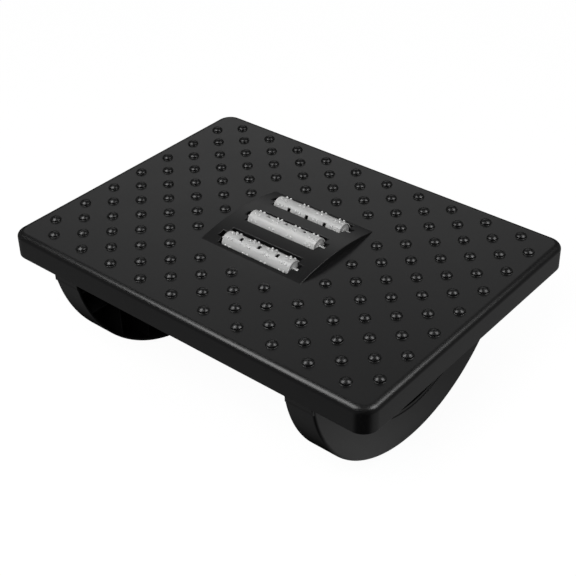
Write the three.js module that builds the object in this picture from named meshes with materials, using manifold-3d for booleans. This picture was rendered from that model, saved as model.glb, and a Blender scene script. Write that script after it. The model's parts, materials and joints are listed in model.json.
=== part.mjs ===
// Rocking under-desk footrest: a studded deck on two half-round rockers, with three massage rollers.
// Millimetres, +Z up. X runs along the deck, -Y faces the sitter's toes at the front, and the origin
// is on the floor, below the middle of the deck.
import * as THREE from "three";
import { mergeVertices } from "three/addons/utils/BufferGeometryUtils.js";
import Module from "manifold-3d";

const wasm = await Module();
wasm.setup();

// Deck: one moulded tray, open below
const deck_length = 439.4;
const deck_width = 321.8;
const deck_wall_height = 25.8;
const deck_skin = 2.4;
const deck_wall = 2.2;
const deck_draft = 0.2; // how far each wall leans in from its lower edge to the top
const deck_corner_radius = 16.5;
const deck_edge_radius = 5.2;
const deck_rib_depth = 10;
const deck_rib = 1.8;
const deck_rib_pitch = 41; // at most, from rib to rib
const deck_corner_sides = 5;
const deck_edge_sides = 4;

// Studs: domes on a diagonal lattice, left out around the roller panel
const stud_pitch = 20;
const stud_radius = 5.5;
const stud_height = 3;
const stud_edge_margin = 15;
const stud_rings = 2;
const stud_sides = 8;

// Roller panel: a low arch that the deck carries in its middle
const panel_height = 6.6;
const panel_border = 12.5; // from the end of an axle notch to the end of the arch
const panel_margin = 4; // from the outer slot to the foot of the arch
const panel_shift_y = 2.6;
const slots_shift_x = -1;
const slot_gap = 2.4;
const slot_wall = 1.8;
const arch_sides = 14;

// Rollers: a hollow sleeve with rows of small nubs, and a plug with a stub axle in each end
const roller_names = ["front", "middle", "back"];
const roller_turns = [76, 90, 34]; // degrees, where each roller's row of windows lies at rest
const roller_pitch = 40;
const roller_drop = 5; // axis below the crown of the arch above it
const roller_radius = 9.6;
const roller_wall = 1.4;
const roller_length = 83.5;
const roller_end_play = 1.75;
const roller_drift = 1.4; // how far along its axis a roller lies from the middle of its slot
const roller_drift_shares = [1, -0.5, -0.85];
const roller_sides = 24;
const nub_rows = 8;
const nub_pairs = 4;
const nub_pair_pitch = 22.5;
const nub_spacing = 5;
const nub_radius = 1.3;
const nub_height = 1.5;
const nub_sides = 5;
const nub_row_offset = 12; // degrees from the row of windows to the next row of nubs
const window_width = 2.4;
const window_length = 5.6;
const plug_depth = 2; // how far a plug's face lies inside the sleeve's end
const plug_length = 6;
const stub_radius = 2.4;
const stub_length = 6.4; // beyond the sleeve's end
const stub_sides = 16;

// Saddles: clips in the deck that the stub axles snap into from above
const saddle_gap = 0.3;
const saddle_wall = 2;
const saddle_notch_gap = 1.8; // from a stub to the side of its notch in the panel
const saddle_lip = 1.7; // height of the clip's lips above the axis
const saddle_end_gap = 0.4;

// Rockers: half-round trays, open towards the middle
const rocker_inset = 57.8; // outer face, from the deck's end
const rocker_width = 31.8;
const rocker_under = 0.3; // radius of the tread, under half the deck's width
const rocker_centre_drop = 3.5; // centre of the arc below the deck's top
const rocker_skin = 2.2;
const rocker_face = 2.5;
const rocker_edge_radius = 3;
const rocker_edge_sides = 2;
const rocker_ring = 42.8; // the flat ring round the sunk panel
const rocker_sink = 8;
const rocker_flange = 2.5;
const collar_reach = 8; // how far the wall inside the deck's wall reaches down behind the tread
const rocker_rib = 1.6;
const rocker_rib_setback = 1.5; // upright ribs, from the tray's open side
const rocker_level_setback = 2.3; // level ribs
const rocker_rib_pitch = 35.8;
const rocker_level_ribs = 2;
const rocker_rib_level = 38.9; // first level rib below the centre of the arc
const rocker_rib_level_step = 29.2;
const sink_facets = 25;
const rocker_facets = 35; // an odd number, so that one lies flat on the floor
const ear_reach = 18;
const ear_width = 26;
const ear_corner_radius = 4;
const ear_corner_sides = 3;
const ear_step = 0.4; // how far the ears lie below the flange's faces

// Screws: pan head, up through the rockers' ears into the deck's bosses
const screw_spacing_y = 210;
const screw_radius = 1.7;
const screw_length = 11;
const screw_head_radius = 3.6;
const screw_head_height = 2.4;
const screw_crown_share = 0.75; // of the head's radius, flat on top
const screw_socket_radius = 1.5;
const screw_socket_depth = 1.2;
const screw_sides = 10;
const boss_wall = 2.6;
const boss_sides = 12;

// Clearances
const seat_gap = 0.3;
const fit_gap = 0.4;
const overrun = 1;
const same_place = 1e-4; // corners closer than this are one

// Worked out from the sizes above
const deck_half_x = deck_length / 2;
const deck_half_y = deck_width / 2;
const slot_half_x = roller_length / 2 + roller_end_play;
const slot_half_y = roller_radius + slot_gap;
const stub_reach = roller_length / 2 + stub_length;
const notch_half_x = stub_reach + roller_drift + saddle_end_gap;
const notch_half_y = stub_radius + saddle_notch_gap;
const panel_half_x = notch_half_x + panel_border;
const panel_half_y = roller_pitch + slot_half_y + panel_margin;
const arch_radius = (panel_half_y ** 2 + panel_height ** 2) / (2 * panel_height);
const flange_top_drop = deck_skin + deck_rib_depth + seat_gap; // below the deck's top
const flange_draft = (deck_draft * (deck_wall_height - flange_top_drop)) / deck_wall_height;
const rocker_seat_half_y = deck_half_y - flange_draft - deck_wall - fit_gap;
const rocker_radius = deck_half_y - rocker_under;
const deck_top = rocker_radius + rocker_centre_drop;
const deck_bottom = deck_top - deck_wall_height;
const shoulder_z = deck_bottom - seat_gap; // above it the rocker stands inside the deck's walls
const rib_bottom = deck_top - deck_skin - deck_rib_depth;
const flange_top = rib_bottom - seat_gap;
const flange_bottom = flange_top - rocker_flange;
const ear_top = flange_top - ear_step;
const ear_bottom = flange_bottom - ear_step;
const inside_top = deck_top + panel_height; // where the walls below the skin are drawn up to, and cut
const rocker_outer_x = deck_half_x - rocker_inset;
const rocker_inner_x = rocker_outer_x - rocker_width;
const sink_radius = rocker_radius - rocker_ring;
const screw_columns = [rocker_inner_x - ear_reach / 2, rocker_outer_x + ear_reach / 2];
const screw_rows = [-screw_spacing_y / 2, screw_spacing_y / 2];
const screw_hole_radius = screw_radius + seat_gap;

// Materials
const black_plastic = { color: 0x1d1d1f, roughness: 0.5, metalness: 0 };
const grey_plastic = { color: 0xc8c8c6, roughness: 0.55, metalness: 0 };
const steel = { color: 0x8f9194, roughness: 0.35, metalness: 1 };

// Solids from three.js shapes
function solid(geometry) {
  const bare = geometry.index ? geometry.toNonIndexed() : geometry.clone();
  bare.deleteAttribute("normal");
  bare.deleteAttribute("uv");
  const merged = mergeVertices(bare, same_place);
  return new wasm.Manifold(
    new wasm.Mesh({
      numProp: 3,
      vertProperties: new Float32Array(merged.attributes.position.array),
      triVerts: new Uint32Array(merged.index.array),
    }),
  );
}

// Moves the two ends of a shape that lies about 0 on one axis (0, 1 or 2) to a and b exactly
function between(geometry, axis, a, b) {
  const p = geometry.attributes.position;
  for (let i = 0; i < p.count; i++) p.setComponent(i, axis, p.getComponent(i, axis) < 0 ? a : b);
  return geometry;
}

function box(x0, x1, y0, y1, z0, z1) {
  const g = new THREE.BoxGeometry(1, 1, 1);
  return solid(between(between(between(g, 0, x0, x1), 1, y0, y1), 2, z0, z1));
}

function roundedRectangle(half_x, half_y, radius) {
  const s = new THREE.Shape();
  s.moveTo(-half_x + radius, -half_y);
  s.lineTo(half_x - radius, -half_y);
  s.absarc(half_x - radius, -half_y + radius, radius, -Math.PI / 2, 0);
  s.lineTo(half_x, half_y - radius);
  s.absarc(half_x - radius, half_y - radius, radius, 0, Math.PI / 2);
  s.lineTo(-half_x + radius, half_y);
  s.absarc(-half_x + radius, half_y - radius, radius, Math.PI / 2, Math.PI);
  s.lineTo(-half_x, -half_y + radius);
  s.absarc(-half_x + radius, -half_y + radius, radius, Math.PI, 1.5 * Math.PI);
  return s;
}

// A shape drawn in (y, z), drawn out along X from x0 to x1
function alongX(shape, x0, x1, options = {}) {
  const g = new THREE.ExtrudeGeometry(shape, { depth: x1 - x0, bevelEnabled: false, ...options });
  const turn = new THREE.Matrix4().makeBasis(
    new THREE.Vector3(0, 1, 0),
    new THREE.Vector3(0, 0, 1),
    new THREE.Vector3(1, 0, 0),
  );
  return g.applyMatrix4(turn).translate(x0, 0, 0);
}

function rodX(radius, x0, x1, y, z, sides) {
  const g = new THREE.CylinderGeometry(radius, radius, 1, sides).rotateZ(-Math.PI / 2);
  return solid(between(g.translate(0, y, z), 0, x0, x1));
}

function rodZ(radius, x, y, z0, z1, sides) {
  const g = new THREE.CylinderGeometry(radius, radius, 1, sides).rotateX(Math.PI / 2);
  return solid(between(g, 2, z0, z1).translate(x, y, 0));
}

const join = (solids) => wasm.Manifold.union(solids);

function piece(name, made, look) {
  const data = made.getMesh();
  const geometry = new THREE.BufferGeometry();
  geometry.setAttribute("position", new THREE.BufferAttribute(data.vertProperties, 3));
  geometry.setIndex(new THREE.BufferAttribute(data.triVerts, 1));
  geometry.computeVertexNormals();
  const mesh = new THREE.Mesh(geometry, new THREE.MeshStandardMaterial(look));
  mesh.name = name;
  return mesh;
}

// Height of the arch's upper face above the deck's top, at a distance from its middle line
function archHeight(y) {
  return Math.sqrt(arch_radius ** 2 - y ** 2) - arch_radius + panel_height;
}

const rollerY = (i) => panel_shift_y + (i - 1) * roller_pitch;
const rollerZ = (i) => deck_top + archHeight((i - 1) * roller_pitch) - roller_drop;
const rollerX = (i) => slots_shift_x + roller_drift * roller_drift_shares[i];

// Deck walls lean inwards by the draft, corners included
function drafted(geometry) {
  const p = geometry.attributes.position;
  for (let i = 0; i < p.count; i++) {
    const lean = (deck_draft * (p.getZ(i) - deck_bottom)) / deck_wall_height;
    p.setX(i, p.getX(i) - Math.sign(p.getX(i)) * lean);
    p.setY(i, p.getY(i) - Math.sign(p.getY(i)) * lean);
  }
  return geometry;
}

function deckOuter() {
  const e = deck_edge_radius;
  const outline = roundedRectangle(deck_half_x - e, deck_half_y - e, deck_corner_radius - e);
  const g = new THREE.ExtrudeGeometry(outline, {
    depth: deck_wall_height,
    bevelThickness: e,
    bevelSize: e,
    bevelSegments: deck_edge_sides,
    curveSegments: deck_corner_sides,
  });
  const full = solid(drafted(g.translate(0, 0, deck_top - e - deck_wall_height)));
  const keep = box(-deck_length, deck_length, -deck_width, deck_width, deck_bottom, deck_top + overrun);
  return full.intersect(keep);
}

// The space inside walls and skin of the given thickness
function deckCavity(wall, skin) {
  const outline = roundedRectangle(deck_half_x - wall, deck_half_y - wall, deck_corner_radius - wall);
  const depth = deck_wall_height - skin + overrun;
  const plain = { depth, bevelEnabled: false, curveSegments: deck_corner_sides };
  const g = new THREE.ExtrudeGeometry(outline, plain);
  return solid(drafted(g.translate(0, 0, deck_bottom - overrun)));
}

// The arch, or with an inset its hollow underside
function arch(inset) {
  const r = arch_radius - inset;
  const foot_y = Math.sqrt(r ** 2 - (arch_radius - panel_height - inset) ** 2);
  const centre_z = panel_height - arch_radius;
  const s = new THREE.Shape();
  const low = -inset - overrun;
  const reach = Math.asin(foot_y / r);
  s.moveTo(-foot_y, low);
  s.lineTo(foot_y, low);
  s.absarc(0, centre_z, r, Math.PI / 2 - reach, Math.PI / 2 + reach);
  const half_x = panel_half_x - inset;
  const g = alongX(s, -half_x, half_x, { curveSegments: arch_sides });
  return solid(g.translate(0, panel_shift_y, deck_top));
}

function studs() {
  const profile = [];
  const cap_radius = (stud_radius ** 2 + stud_height ** 2) / (2 * stud_height);
  for (let k = 0; k <= stud_rings; k++) {
    const a = (Math.asin(stud_radius / cap_radius) * k) / stud_rings;
    profile.push(new THREE.Vector2(cap_radius * Math.sin(a), cap_radius * Math.cos(a)));
  }
  const base = cap_radius - stud_height;
  profile.push(new THREE.Vector2(stud_radius, base - overrun));
  profile.push(new THREE.Vector2(0, base - overrun));
  const g = new THREE.LatheGeometry(profile.reverse(), stud_sides).rotateX(Math.PI / 2);
  const one = solid(g.translate(0, 0, deck_top - base));
  const columns = Math.floor((deck_half_x - stud_edge_margin) / stud_pitch);
  const rows = Math.floor((deck_half_y - stud_edge_margin) / stud_pitch);
  const clear_x = panel_half_x + stud_radius;
  const clear_y = panel_half_y + stud_radius + Math.abs(panel_shift_y);
  const all = [];
  for (let i = -columns; i <= columns; i++) {
    for (let j = -rows; j <= rows; j++) {
      const x = i * stud_pitch;
      const y = j * stud_pitch;
      const inPanel = Math.abs(x) < clear_x && Math.abs(y) < clear_y;
      if ((i + j) % 2 === 0 && !inPanel) all.push(one.translate([x, y, 0]));
    }
  }
  return join(all);
}

// Where ribs stand between two places, no further apart than the pitch
function ribPlaces(from, to) {
  const cells = Math.ceil((to - from) / deck_rib_pitch);
  return Array.from({ length: cells - 1 }, (_, k) => from + ((k + 1) * (to - from)) / cells);
}

// Walls that stand below the skin: a grid of ribs, and a frame round the roller panel
function deckRibs() {
  const half = deck_rib / 2;
  const frame_x = panel_half_x + deck_rib;
  const frame_y = panel_half_y + deck_rib;
  const front = panel_shift_y - frame_y;
  const back = panel_shift_y + frame_y;
  const across = (x, y0, y1) => box(x - half, x + half, y0, y1, rib_bottom, inside_top);
  const along = (y, x0, x1) => box(x0, x1, y - half, y + half, rib_bottom, inside_top);
  const ribs = [along(front, -frame_x, frame_x), along(back, -frame_x, frame_x)];
  for (const x of [...ribPlaces(frame_x, deck_half_x), frame_x]) {
    ribs.push(across(-x, -deck_half_y, deck_half_y), across(x, -deck_half_y, deck_half_y));
  }
  for (const x of ribPlaces(-frame_x, frame_x)) {
    ribs.push(across(x, -deck_half_y, front), across(x, back, deck_half_y));
  }
  for (const y of ribPlaces(-deck_half_y, deck_half_y)) {
    if (y < front || y > back) {
      ribs.push(along(y, -deck_half_x, deck_half_x));
    } else {
      ribs.push(along(y, -deck_half_x, -frame_x), along(y, frame_x, deck_half_x));
    }
  }
  return join(ribs);
}

// The walls beside each slot and the blocks that the saddles are cut from
function rollerWells() {
  const walls = [];
  const x = slots_shift_x;
  const block_half_x = notch_half_x + saddle_wall;
  const block_half_y = notch_half_y + saddle_wall;
  const wall = (x0, x1, y0, y1, z0) => {
    const [xa, xb] = [x0, x1].sort((a, b) => a - b);
    const [ya, yb] = [y0, y1].sort((a, b) => a - b);
    walls.push(box(xa, xb, ya, yb, z0, inside_top));
  };
  for (let i = 0; i < roller_names.length; i++) {
    const y = rollerY(i);
    const floor_z = rollerZ(i) - stub_radius - saddle_gap - saddle_wall;
    for (const side of [-1, 1]) {
      const y0 = y + side * slot_half_y;
      const x0 = x + side * (slot_half_x - seat_gap / 2);
      wall(x - block_half_x, x + block_half_x, y0, y0 + side * slot_wall, rib_bottom);
      wall(x0, x + side * block_half_x, y - block_half_y, y + block_half_y, floor_z);
    }
  }
  const end_y = slot_half_y + slot_wall + roller_pitch;
  for (const side of [-1, 1]) {
    const x1 = x + side * block_half_x;
    wall(x1 - side * saddle_wall, x1, panel_shift_y - end_y, panel_shift_y + end_y, rib_bottom);
  }
  return join(walls);
}

// Everything that the rollers need cut away: slots, axle notches and the saddles' bores
function rollerCuts() {
  const top = deck_top + panel_height + overrun;
  const cuts = [];
  const x = slots_shift_x;
  for (let i = 0; i < roller_names.length; i++) {
    const y = rollerY(i);
    const z = rollerZ(i);
    const low = rib_bottom - overrun;
    cuts.push(box(x - slot_half_x, x + slot_half_x, y - slot_half_y, y + slot_half_y, low, top));
    cuts.push(
      box(x - notch_half_x, x + notch_half_x, y - notch_half_y, y + notch_half_y, z + saddle_lip, top),
    );
    cuts.push(rodX(stub_radius + saddle_gap, x - notch_half_x, x + notch_half_x, y, z, stub_sides));
  }
  return join(cuts);
}

function screwPlaces() {
  const places = [];
  for (const row of screw_rows) {
    for (const column of screw_columns) places.push([column, row]);
  }
  return places;
}

function deckBosses(radius, z0, z1) {
  const all = [];
  for (const [x, y] of screwPlaces()) {
    for (const side of [-1, 1]) all.push(rodZ(radius, side * x, y, z0, z1, boss_sides));
  }
  return join(all);
}

function makeDeck() {
  const outer = deckOuter().add(arch(0));
  const shell = outer.subtract(deckCavity(deck_wall, deck_skin)).subtract(arch(deck_skin));
  // Walls and bosses below the skin end inside its thickness
  const core = deckCavity(deck_wall / 2, deck_skin / 2).add(arch(deck_skin / 2));
  const boss_bottom = ear_top + seat_gap;
  const bosses = deckBosses(screw_hole_radius + boss_wall, boss_bottom, inside_top);
  const inside = join([deckRibs(), rollerWells(), bosses]).intersect(core);
  const hole_top = ear_bottom + screw_length + seat_gap;
  const holes = deckBosses(screw_hole_radius, boss_bottom - overrun, hole_top);
  const body = shell.add(inside).add(studs()).subtract(rollerCuts()).subtract(holes);
  return piece("deck", body, black_plastic);
}

// The lower half of a disc about the rocker's centre, drawn out along X; its flats lie at the radius
function halfDisc(radius, x0, x1, flats, options = {}) {
  const corner_radius = radius / Math.cos(Math.PI / flats / 2);
  const points = [];
  for (let k = 0; k <= flats; k++) {
    const a = -(Math.PI * k) / flats;
    const z = rocker_radius + corner_radius * Math.sin(a);
    points.push(new THREE.Vector2(corner_radius * Math.cos(a), z));
  }
  return solid(alongX(new THREE.Shape(points.reverse()), x0, x1, options));
}

function rockerEars() {
  const ears = [];
  const half_x = (rocker_width + 2 * ear_reach) / 2;
  for (const y of screw_rows) {
    const outline = roundedRectangle(half_x, ear_width / 2, ear_corner_radius);
    const plain = { depth: 1, bevelEnabled: false, curveSegments: ear_corner_sides };
    const g = new THREE.ExtrudeGeometry(outline, plain);
    between(g.translate(rocker_outer_x - rocker_width / 2, y, -1 / 2), 2, ear_bottom, ear_top);
    ears.push(solid(g));
  }
  return join(ears);
}

function rockerRibs() {
  const half = rocker_rib / 2;
  const upright_x = rocker_inner_x + rocker_rib_setback;
  const level_x = rocker_inner_x + rocker_level_setback;
  const x1 = rocker_outer_x;
  const ribs = [];
  const count = Math.floor((rocker_radius - rocker_rib_pitch) / rocker_rib_pitch);
  for (let k = -count; k <= count; k++) {
    const y = k * rocker_rib_pitch;
    ribs.push(box(upright_x, x1, y - half, y + half, 0, flange_top));
  }
  for (let k = 0; k < rocker_level_ribs; k++) {
    const z = rocker_radius - rocker_rib_level - k * rocker_rib_level_step;
    ribs.push(box(level_x, x1, -rocker_radius, rocker_radius, z - half, z + half));
  }
  return join(ribs);
}

function rockerSolid() {
  const e = rocker_edge_radius;
  const x0 = rocker_inner_x;
  const x1 = rocker_outer_x;
  const reach = rocker_radius + overrun;
  const below = (z) => box(x0 - overrun, x1 + overrun, -reach, reach, -overrun, z);
  // The outline is drawn in by the edge radius and grown back by its bevel
  const rounded = { bevelEnabled: true, bevelThickness: e, bevelSize: e, bevelSegments: rocker_edge_sides };
  const full = halfDisc(rocker_radius - e, x0 - 2 * e, x1 - e, rocker_facets, rounded);
  // Below the deck the tread is as wide as the deck; above the shoulder a collar stands inside its walls
  const upper = (half_y, z) => box(x0 - overrun, x1 + overrun, -half_y, half_y, -overrun, z);
  const seat = upper(rocker_seat_half_y, flange_top).add(below(shoulder_z));
  const outer = full.intersect(seat).intersect(box(x0, x1 + overrun, -reach, reach, -overrun, flange_top));
  const room = halfDisc(rocker_radius - rocker_skin, x0 - overrun, x1 - rocker_face, rocker_facets);
  const throat = upper(rocker_seat_half_y - rocker_skin, flange_bottom);
  const hollow = room.intersect(throat.add(below(shoulder_z - collar_reach)));
  // Ribs and dish end inside the thickness of the walls round them
  const core = halfDisc(rocker_radius - rocker_skin / 2, x0, x1 - rocker_face / 2, rocker_facets);
  const dish_x = x1 - rocker_sink - rocker_face;
  const dish = halfDisc(sink_radius + rocker_face, dish_x, x1, sink_facets);
  const sunk = halfDisc(sink_radius, dish_x + rocker_face, x1 + overrun, sink_facets);
  const sink = sunk.intersect(below(flange_bottom - rocker_face));
  const inside = rockerRibs().add(dish).intersect(core).intersect(below(flange_top - rocker_flange / 2));
  const holes = screwPlaces().map(([x, y]) =>
    rodZ(screw_hole_radius, x, y, ear_bottom - overrun, flange_top + overrun, boss_sides),
  );
  return outer.subtract(hollow).add(inside).add(rockerEars()).subtract(sink).subtract(join(holes));
}

function addRockers(group) {
  const made = rockerSolid();
  const right = piece("rocker_right", made, black_plastic);
  const left = piece("rocker_left", made, black_plastic);
  left.scale.x = -1;
  group.add(right, left);
}

function addScrews(group) {
  const head_top = -seat_gap / 2;
  const profile = [
    [0, -screw_head_height + screw_socket_depth],
    [screw_socket_radius, -screw_head_height],
    [screw_head_radius * screw_crown_share, -screw_head_height],
    [screw_head_radius, -screw_head_height / 2],
    [screw_head_radius, head_top],
    [screw_radius, head_top],
    [screw_radius, screw_length - screw_radius],
    [0, screw_length],
  ].map(([r, z]) => new THREE.Vector2(r, z));
  const made = solid(new THREE.LatheGeometry(profile, screw_sides).rotateX(Math.PI / 2));
  const ends = { left: -1, right: 1 };
  const columns = { inner: screw_columns[0], outer: screw_columns[1] };
  const rows = { front: screw_rows[0], back: screw_rows[1] };
  for (const [end, side] of Object.entries(ends)) {
    for (const [row, y] of Object.entries(rows)) {
      for (const [column, x] of Object.entries(columns)) {
        const screw = piece(`rocker_screw_${end}_${row}_${column}`, made, steel);
        screw.position.set(side * x, y, ear_bottom);
        group.add(screw);
      }
    }
  }
}

// One roller sleeve about its own axis, with its windows at angle 0, which is towards -Y
function sleeveSolid() {
  const half = roller_length / 2;
  let made = rodX(roller_radius, -half, half, 0, 0, roller_sides);
  const bore = rodX(roller_radius - roller_wall, -half - overrun, half + overrun, 0, 0, roller_sides);
  made = made.subtract(bore);
  const nub = new THREE.ConeGeometry(nub_radius, nub_height + roller_wall / 2, nub_sides);
  nub.rotateX(Math.PI / 2).translate(0, 0, roller_radius + (nub_height - roller_wall / 2) / 2);
  const one = solid(nub);
  const nubs = [];
  for (let pair = 0; pair < nub_pairs; pair++) {
    const middle = (pair - (nub_pairs - 1) / 2) * nub_pair_pitch;
    for (const side of [-1, 1]) {
      const x = middle + (side * nub_spacing) / 2;
      for (let row = 0; row < nub_rows; row++) {
        const angle = 90 - nub_row_offset - (row * 360) / nub_rows;
        nubs.push(one.rotate([angle, 0, 0]).translate([x, 0, 0]));
      }
    }
  }
  const windows = [];
  for (let gap = 0; gap < nub_pairs - 1; gap++) {
    const x = (gap - (nub_pairs - 2) / 2) * nub_pair_pitch;
    const w = window_width / 2;
    const l = window_length / 2;
    windows.push(box(x - w, x + w, -roller_radius - overrun, -roller_radius / 2, -l, l));
  }
  return made.add(join(nubs)).subtract(join(windows));
}

// A plug with its stub axle, for the sleeve's +X end
function plugSolid() {
  const end = roller_length / 2;
  const outer = roller_radius - roller_wall - seat_gap;
  const disc = rodX(outer, end - plug_depth - plug_length, end - plug_depth, 0, 0, roller_sides);
  const stub = rodX(stub_radius, end - plug_depth - plug_length / 2, end + stub_length, 0, 0, stub_sides);
  return disc.add(stub);
}

function addRollers(group) {
  const sleeve = sleeveSolid();
  const plug = plugSolid();
  roller_names.forEach((name, i) => {
    const roller = new THREE.Group();
    roller.position.set(rollerX(i), rollerY(i), rollerZ(i));
    roller.rotation.x = -THREE.MathUtils.degToRad(roller_turns[i]);
    const right = piece(`roller_${name}_plug_right`, plug, grey_plastic);
    const left = piece(`roller_${name}_plug_left`, plug, grey_plastic);
    left.scale.x = -1;
    roller.add(piece(`roller_${name}_sleeve`, sleeve, grey_plastic), right, left);
    group.add(roller);
  });
}

const footrest = new THREE.Group();
footrest.add(makeDeck());
addRockers(footrest);
addScrews(footrest);
addRollers(footrest);

export default footrest;
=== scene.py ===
import json
from math import asin, ceil, cos, degrees, pi, radians, sin, sqrt

import bmesh
import bpy
from bpy.props import FloatProperty, FloatVectorProperty, IntProperty, PointerProperty
from mathutils import Euler, Matrix, Vector


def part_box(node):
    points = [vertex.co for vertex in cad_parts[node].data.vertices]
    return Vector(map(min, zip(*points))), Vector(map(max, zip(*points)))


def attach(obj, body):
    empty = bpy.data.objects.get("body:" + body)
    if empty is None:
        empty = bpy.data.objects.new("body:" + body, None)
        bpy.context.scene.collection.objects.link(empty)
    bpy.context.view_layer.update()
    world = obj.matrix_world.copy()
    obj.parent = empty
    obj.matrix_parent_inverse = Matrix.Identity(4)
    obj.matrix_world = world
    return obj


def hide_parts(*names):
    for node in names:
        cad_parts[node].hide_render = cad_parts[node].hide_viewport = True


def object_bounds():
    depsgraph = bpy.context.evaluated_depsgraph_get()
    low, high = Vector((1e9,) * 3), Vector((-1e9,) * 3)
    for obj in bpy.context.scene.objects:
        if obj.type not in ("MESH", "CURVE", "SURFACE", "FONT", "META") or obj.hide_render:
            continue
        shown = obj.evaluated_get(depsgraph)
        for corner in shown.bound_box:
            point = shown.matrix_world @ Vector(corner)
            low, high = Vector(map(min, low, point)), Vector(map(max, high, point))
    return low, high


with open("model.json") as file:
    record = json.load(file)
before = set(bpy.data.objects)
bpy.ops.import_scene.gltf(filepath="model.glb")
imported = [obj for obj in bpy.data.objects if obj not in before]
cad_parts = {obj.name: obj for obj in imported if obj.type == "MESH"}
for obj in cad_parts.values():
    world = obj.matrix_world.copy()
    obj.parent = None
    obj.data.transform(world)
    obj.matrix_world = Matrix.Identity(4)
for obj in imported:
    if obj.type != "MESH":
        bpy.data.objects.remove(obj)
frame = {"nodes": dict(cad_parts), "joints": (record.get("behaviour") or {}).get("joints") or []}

bl_info = {
    "name": "Rocking Footrest",
    "version": (1, 0, 0),
    "blender": (4, 5, 0),
    "location": "3D View > Sidebar > Footrest",
    "description": "Builds an under-desk footrest with a studded deck, massage rollers and round rockers",
    "category": "Object",
}

cad_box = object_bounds()
deck_low, deck_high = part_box("deck")
rocker_low, rocker_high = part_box("rocker_right")
screws = {name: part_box(name) for name in sorted(frame["nodes"]) if name.startswith("rocker_screw")}

# Each roller's body, the middle of its axis and half its length
rollers = []
for joint in frame["joints"]:
    sleeve_low, sleeve_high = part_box(joint["child"] + "_sleeve")
    middle = Vector(((sleeve_low.x + sleeve_high.x) / 2, joint["pos_m"][1], joint["pos_m"][2]))
    rollers.append((joint["child"], middle, (sleeve_high.x - sleeve_low.x) / 2))
panel_y = sum(middle.y for _, middle, _ in rollers) / len(rollers)


def kind(**settings):
    """One kind of number: a function that makes a property from its name, description and default"""

    def make(name, description, default):
        return FloatProperty(name=name, description=description, default=default, **settings)

    return make


length = kind(unit="LENGTH", precision=5)
angle = kind(subtype="ANGLE")
watts = kind(unit="POWER")
level = kind(min=0)
share = kind(min=0, max=1)
framing = kind()


def turn(name, description, default):
    """An angle whose default is given in degrees"""
    return angle(name, description, radians(default))


def colour(name, description, default):
    return FloatVectorProperty(
        name=name, description=description, default=default, size=3, min=0, max=1, subtype="COLOR"
    )


class FootrestDeck(bpy.types.PropertyGroup):
    skin: length("Skin", "Thickness of the top", 0.0024)
    wall: length("Wall", "Thickness of the side walls", 0.0022)
    draft: length("Draft", "How far each wall leans in from its lower edge to the top", 0.0002)
    corner: length("Corner", "Radius of the corners seen from above", 0.0165)
    edge: length("Edge", "Height of the rounded edge between the top and the walls", 0.0054)
    edge_width: length("Edge width", "Width of that edge seen from above", 0.0078)
    lip: length("Lip", "Radius of the outer lower edge", 0.0007)
    rib: length("Rib", "Thickness of the ribs below", 0.0018)
    rib_depth: length("Rib depth", "How far the ribs reach below the skin", 0.010)
    rib_pitch: length("Rib pitch", "Most distance from rib to rib", 0.041)
    boss: length("Boss", "Outer radius of the screw bosses", 0.0046)
    hole: length("Hole", "Radius of the holes in the bosses", 0.002)


class FootrestStuds(bpy.types.PropertyGroup):
    pitch: length("Pitch", "Distance between the rows along the front", 0.020)
    pitch_deep: length("Pitch deep", "Distance between the rows from front to back", 0.01988)
    shift: length("Shift", "How far the rows lie behind the deck's middle", 0.001)
    radius: length("Radius", "Radius of a stud", 0.0054)
    height: length("Height", "Height of a stud", 0.0036)
    dome: length("Dome", "Radius of the domed top", 0.0078)
    shoulder: length("Shoulder", "Radius between the dome and the stud's side", 0.001)
    foot: length("Foot", "Radius of the hollow at the stud's foot", 0.0006)
    margin: length("Margin", "Least distance from a stud's centre to the edge", 0.015)


class FootrestPanel(bpy.types.PropertyGroup):
    height: length("Height", "Height of the arch over the deck", 0.0066)
    half_length: length("Half length", "Middle to end along the rollers", 0.06245)
    half_width: length("Half width", "Middle to foot across the rollers", 0.056)
    slots_shift: length("Shift", "How far the slots lie off the middle", -0.001)
    slot_gap: length("Slot gap", "From a roller to its slot's side", 0.0024)
    slot_play: length("Slot play", "From half a roller to its slot's end", 0.00175)
    notch_length: length("Notch", "How far an axle notch reaches past the slot", 0.00645)
    notch_half: length("Notch half", "Half the width of an axle notch", 0.0042)
    clip_bore: length("Clip bore", "Radius of the clip that holds an axle", 0.0027)
    clip_lip: length("Clip lip", "Height of the clip's lips over the axis", 0.0017)
    wall: length("Wall", "Thickness of the walls round the slots", 0.0018)
    rim: length("Rim", "Radius on the rims of the slots and ends", 0.00045)


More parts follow.
